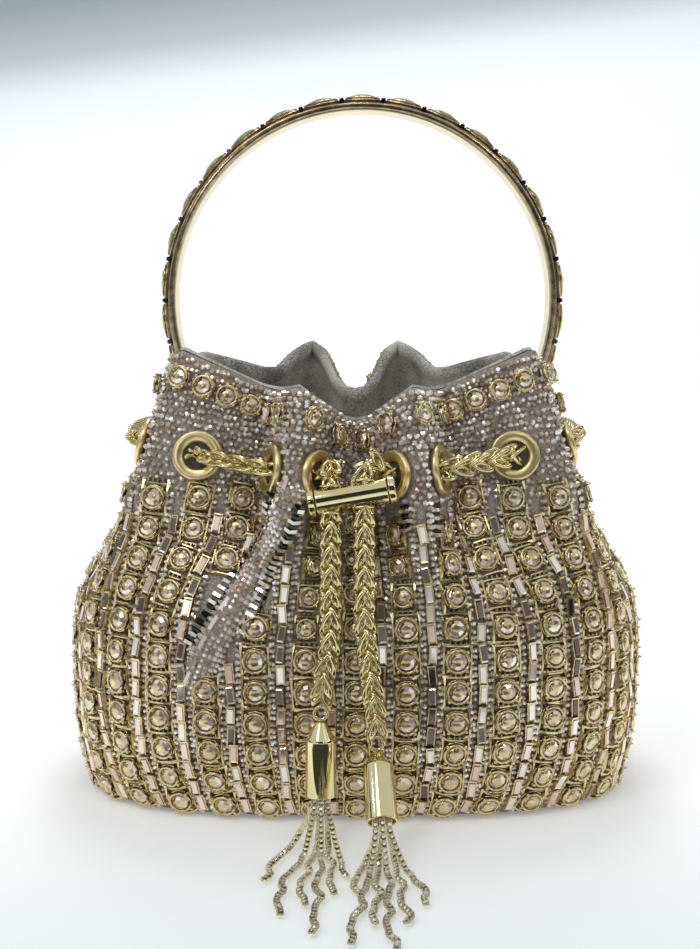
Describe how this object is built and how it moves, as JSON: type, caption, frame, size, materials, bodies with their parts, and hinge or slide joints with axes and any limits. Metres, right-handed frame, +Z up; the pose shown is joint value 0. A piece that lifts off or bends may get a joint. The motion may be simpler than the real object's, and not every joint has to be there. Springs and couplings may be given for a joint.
{
  "type": "bucket bag",
  "caption": "Gathered evening bucket bag with stone-set columns, a drawstring chain through metal eyelets, a slider, fringed chain ends and a round hoop handle.",
  "frame": {"origin": "middle of the base, on the surface that the bag stands on", "axes": "+Z up, +X to the right seen from the front, the slider and fringes towards -Y"},
  "size_m": [0.1648, 0.2095, 0.1995],
  "materials": {
    "stone_cloth": "metal mesh cloth set with champagne stones",
    "velvet": "grey taupe velvet",
    "base_cloth": "plain woven base cloth",
    "board": "stiff board",
    "pale_gold": "polished pale gold plate",
    "chain_gold": "polished chain links",
    "fringe_gold": "fine box chain",
    "hoop_gold": "antique gold band set with oval stones"
  },
  "bodies": {
    "root": {"bag_wall": "stone_cloth", "base_board": "board", "base_panel": "base_cloth", "bell_cap_left": "pale_gold", "bell_cap_right": "pale_gold", "eyelet_1": "pale_gold", "eyelet_10": "pale_gold", "eyelet_11": "pale_gold", "eyelet_12": "pale_gold", "eyelet_13": "pale_gold", "eyelet_14": "pale_gold", "eyelet_15": "pale_gold", "eyelet_16": "pale_gold", "eyelet_2": "pale_gold", "eyelet_3": "pale_gold", "eyelet_4": "pale_gold", "eyelet_5": "pale_gold", "eyelet_6": "pale_gold", "eyelet_7": "pale_gold", "eyelet_8": "pale_gold", "eyelet_9": "pale_gold", "fringe_left_1": "fringe_gold", "fringe_left_2": "fringe_gold", "fringe_left_3": "fringe_gold", "fringe_left_4": "fringe_gold", "fringe_left_5": "fringe_gold", "fringe_left_6": "fringe_gold", "fringe_right_1": "fringe_gold", "fringe_right_2": "fringe_gold", "fringe_right_3": "fringe_gold", "fringe_right_4": "fringe_gold", "fringe_right_5": "fringe_gold", "fringe_right_6": "fringe_gold", "jump_ring_left": "pale_gold", "jump_ring_right": "pale_gold", "lining": "velvet", "neck_chain": "chain_gold", "pull_chain_left": "chain_gold", "pull_chain_right": "chain_gold", "tab_patch_left": "velvet", "tab_patch_right": "velvet"},
    "slider": {"slider_barrel": "pale_gold", "slider_cap_left": "pale_gold", "slider_cap_right": "pale_gold"},
    "handle_tabs": {"handle_tab_left": "velvet", "handle_tab_right": "velvet"},
    "hoop": {"hoop_handle": "hoop_gold"}
  },
  "joints": [
    {"name": "handle_swing", "type": "hinge", "parent": "root", "child": "handle_tabs", "pos_m": [0, 0, 0.101], "axis": [1, 0, 0], "range_deg": [-35, 35]},
    {"name": "handle_turn", "type": "hinge", "parent": "handle_tabs", "child": "hoop", "pos_m": [0.002, 0, 0.14], "axis": [0, 1, 0], "continuous": true},
    {"name": "slider_slide", "type": "slide", "parent": "root", "child": "slider", "axis": [0, -0.2011, -0.9796], "range_m": [0, 0.028]}
  ]
}
